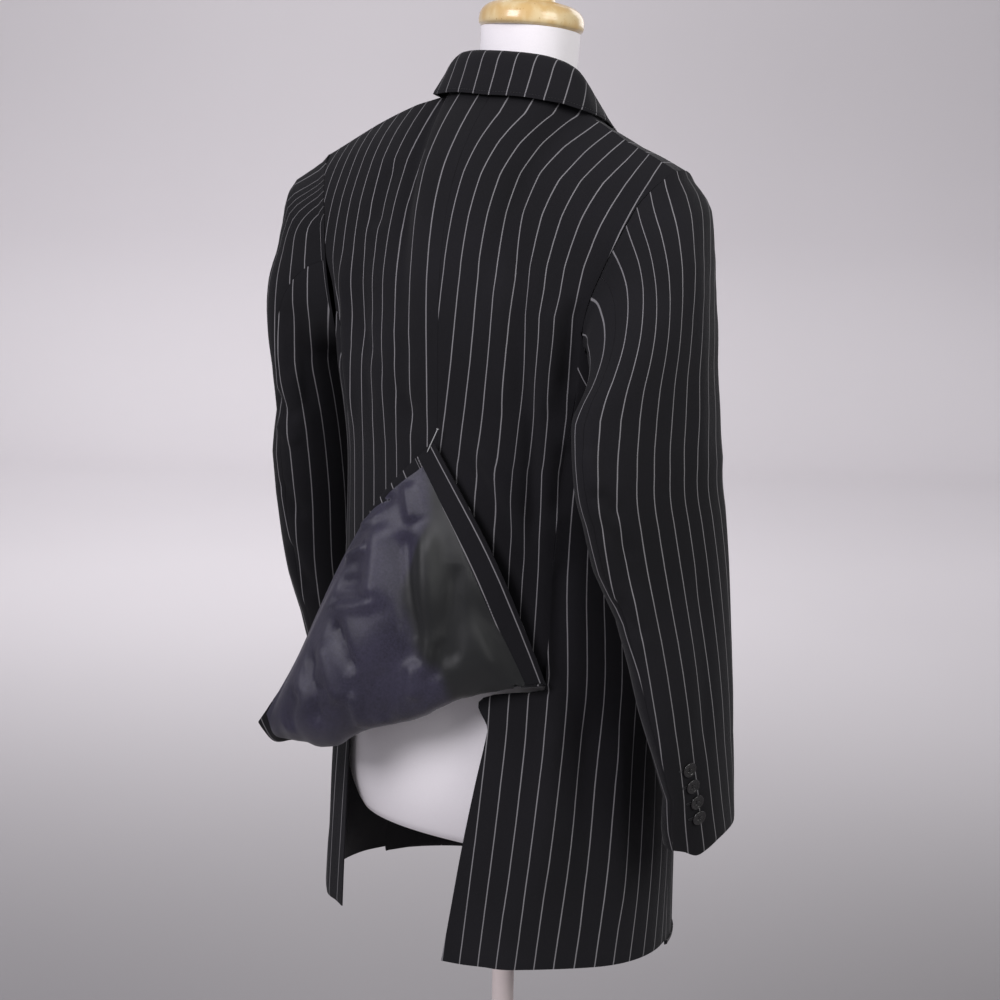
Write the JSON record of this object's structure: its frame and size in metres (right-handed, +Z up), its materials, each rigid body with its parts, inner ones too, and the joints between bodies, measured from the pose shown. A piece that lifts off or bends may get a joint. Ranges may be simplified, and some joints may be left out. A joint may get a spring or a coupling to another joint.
{
  "type": "pinstripe suit jacket on a dress form",
  "caption": "Long pinstripe suit jacket with side vents on a limbless dress form, its back flap turned up and pinned at the waist so that the lining shows.",
  "frame": {"origin": "middle of the base's underside, on the pole's axis", "axes": "+Z up along the pole; the chest faces -Y and the back +Y, so the wearer's right is -X"},
  "size_m": [0.59, 0.4007, 1.6383],
  "materials": {
    "pinstripe": "black worsted wool with thin grey stripes",
    "satin_lining": "dark navy satin lining",
    "button_black": "polished black",
    "pin_steel": "polished steel",
    "form_cover": "matt off-white cover",
    "pale_wood": "varnished pale wood",
    "pole_enamel": "pale enamel"
  },
  "bodies": {
    "root": {"back_right": "pinstripe", "back_left": "pinstripe", "flap_lining": "satin_lining", "vent_facing_right": "pinstripe", "vent_facing_left": "pinstripe", "flap_hem": "pinstripe", "side_right": "pinstripe", "side_left": "pinstripe", "front_right": "pinstripe", "front_left": "pinstripe", "lapel_right": "pinstripe", "lapel_left": "pinstripe", "collar": "pinstripe", "under_sleeve_right": "pinstripe", "top_sleeve_right": "pinstripe", "under_sleeve_left": "pinstripe", "top_sleeve_left": "pinstripe", "pocket_flap_right": "pinstripe", "pocket_flap_left": "pinstripe", "breast_welt": "pinstripe", "cuff_button_right_1": "button_black", "cuff_button_right_2": "button_black", "cuff_button_right_3": "button_black", "cuff_button_right_4": "button_black", "cuff_button_left_1": "button_black", "cuff_button_left_2": "button_black", "cuff_button_left_3": "button_black", "cuff_button_left_4": "button_black", "front_button_1": "button_black", "front_button_2": "button_black", "front_button_3": "button_black", "pin": "pin_steel", "form_torso": "form_cover", "neck_cap": "pale_wood", "base": "pole_enamel", "pole": "pole_enamel"}
  },
  "joints": []
}
